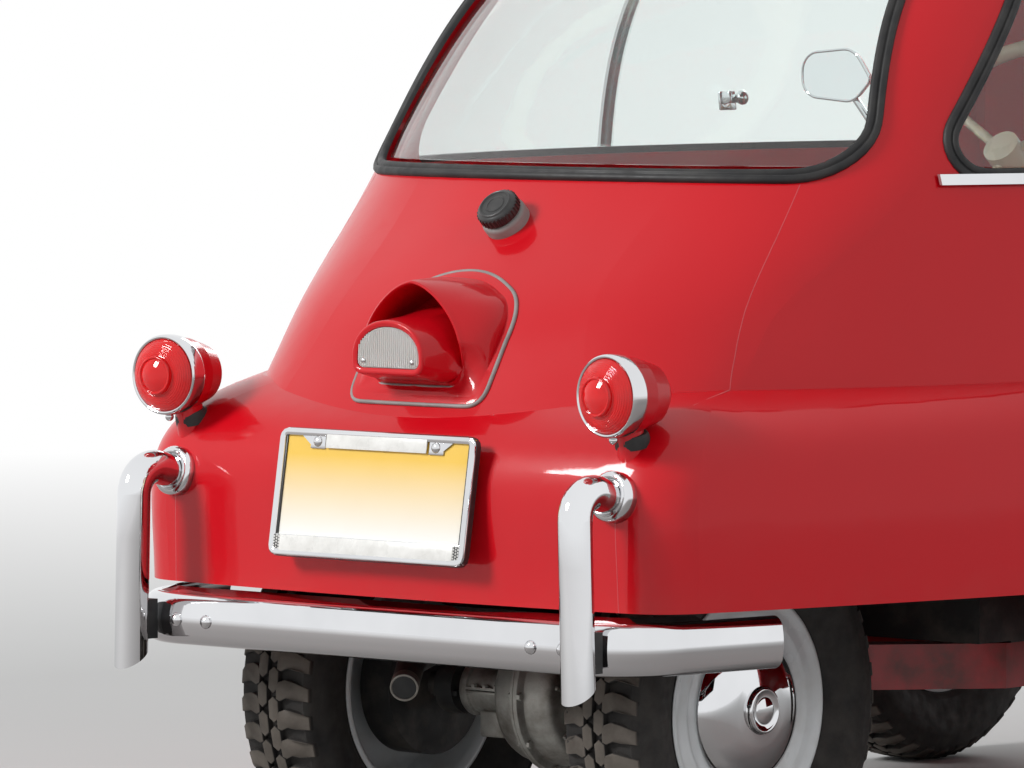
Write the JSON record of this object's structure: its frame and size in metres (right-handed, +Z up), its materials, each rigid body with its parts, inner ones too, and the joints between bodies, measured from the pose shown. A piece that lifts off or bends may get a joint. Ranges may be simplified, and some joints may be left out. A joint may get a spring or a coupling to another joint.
{
  "type": "bubble car",
  "caption": "Small egg-shaped bubble car with a front door, glazed cabin, narrow-track rear axle, chrome bumpers and fabric roof.",
  "frame": {"origin": "on the ground, halfway along and across the car", "axes": "-Y forward, +X to the car's left, +Z up"},
  "size_m": [1.468, 2.3529, 1.339],
  "materials": {
    "red_paint": "glossy red coachwork paint",
    "chassis_paint": "red paint on the frame, dusty",
    "chrome": "polished chrome plate",
    "glass": "clear safety glass",
    "rubber": "black extruded rubber",
    "tyre": "black tyre rubber",
    "wheel_paint": "light grey wheel enamel",
    "cast_metal": "sand cast aluminium",
    "black_steel": "satin black steel",
    "red_lens": "red lamp plastic with rings",
    "clear_lens": "ribbed clear lens",
    "amber_lens": "amber lamp plastic",
    "cream_plastic": "cream steering wheel plastic",
    "seat_cloth": "woven seat cloth",
    "roof_cloth": "black coated roof cloth",
    "shelf_board": "dark felt on board",
    "plate_paint": "blank plate, yellow fading to white",
    "neck_metal": "grey rubber collar"
  },
  "bodies": {
    "root": {"air_scoop": "red_paint", "body_shell": "red_paint", "bumper_rubbers": "rubber", "chain_case": "cast_metal", "chassis_frame": "chassis_paint", "driver_controls": "black_steel", "engine_block": "cast_metal", "exhaust": "black_steel", "filler_cap": "rubber", "filler_neck": "neck_metal", "floor_pan": "red_paint", "front_bumpers": "chrome", "front_suspension": "black_steel", "head_lamp_lenses": "clear_lens", "head_lamp_pods": "red_paint", "hinge_leaves": "red_paint", "inner_sides": "red_paint", "lamp_rims": "chrome", "mirrors": "chrome", "number_plate": "plate_paint", "parcel_shelf": "shelf_board", "plate_frame": "chrome", "plate_lamp_lens": "clear_lens", "rear_bumper": "chrome", "rear_overriders": "chrome", "rear_springs": "black_steel", "rear_window": "glass", "seat_backrest": "seat_cloth", "seat_cushion": "seat_cloth", "side_window_frames": "chrome", "side_windows": "glass", "steering_box": "cast_metal", "sunroof": "roof_cloth", "tail_lamp_housings": "red_paint", "tail_lamp_lenses": "red_lens", "turn_lamps": "amber_lens", "window_seals": "rubber"},
    "door": {"front_door": "red_paint", "windscreen": "glass", "windscreen_seal": "rubber", "hinge_arms": "red_paint", "door_handle": "chrome", "steering_column": "black_steel", "wiper": "black_steel"},
    "engine_flap": {"engine_flap": "red_paint"},
    "steering_wheel": {"steering_wheel": "cream_plastic"},
    "knuckle_left": {"knuckle_left": "black_steel"},
    "knuckle_right": {"knuckle_right": "black_steel"},
    "track_rod": {"track_rod": "black_steel"},
    "front_wheel_left": {"tyre_front_left": "tyre", "wheel_front_left": "wheel_paint", "hub_cap_front_left": "chrome"},
    "front_wheel_right": {"tyre_front_right": "tyre", "wheel_front_right": "wheel_paint", "hub_cap_front_right": "chrome"},
    "rear_wheels": {"tyres_rear": "tyre", "wheels_rear": "wheel_paint", "hub_caps_rear": "chrome", "rear_axle": "black_steel"}
  },
  "joints": [
    {"name": "door_hinge", "type": "hinge", "parent": "root", "child": "door", "pos_m": [0.5, -1.069, 0.6], "axis": [0, 0, 1], "range_deg": [0, 80]},
    {"name": "flap_hinge", "type": "hinge", "parent": "root", "child": "engine_flap", "pos_m": [-0.56052, 0.447, 0.60172], "axis": [0.1687, 0.9844, -0.0492], "range_deg": [0, 70]},
    {"name": "steering_left", "type": "hinge", "parent": "root", "child": "knuckle_left", "pos_m": [0.56, -0.723, 0.24], "axis": [0, 0, 1], "range_deg": [-25, 25]},
    {"name": "steering_right", "type": "hinge", "parent": "root", "child": "knuckle_right", "pos_m": [-0.56, -0.723, 0.24], "axis": [0, 0, 1], "range_deg": [-25, 25]},
    {"name": "track_rod_slide", "type": "slide", "parent": "root", "child": "track_rod", "axis": [1, 0, 0], "range_m": [-0.045, 0.045]},
    {"name": "steering_wheel_turn", "type": "hinge", "parent": "door", "child": "steering_wheel", "pos_m": [0.25, -0.453, 0.88], "axis": [0, 0.7547, 0.6561], "range_deg": [-300, 300]},
    {"name": "front_wheel_left_spin", "type": "hinge", "parent": "knuckle_left", "child": "front_wheel_left", "pos_m": [0.6, -0.723, 0.24], "axis": [1, 0, 0], "continuous": true},
    {"name": "front_wheel_right_spin", "type": "hinge", "parent": "knuckle_right", "child": "front_wheel_right", "pos_m": [-0.6, -0.723, 0.24], "axis": [1, 0, 0], "continuous": true},
    {"name": "rear_wheels_spin", "type": "hinge", "parent": "root", "child": "rear_wheels", "pos_m": [0, 0.777, 0.24], "axis": [1, 0, 0], "continuous": true}
  ],
  "couplings": [
    {"joint": "steering_right", "follows": "steering_left", "ratio": 1},
    {"joint": "track_rod_slide", "follows": "steering_left", "m_per_rad": -0.092},
    {"joint": "steering_wheel_turn", "follows": "steering_left", "ratio": 12}
  ]
}
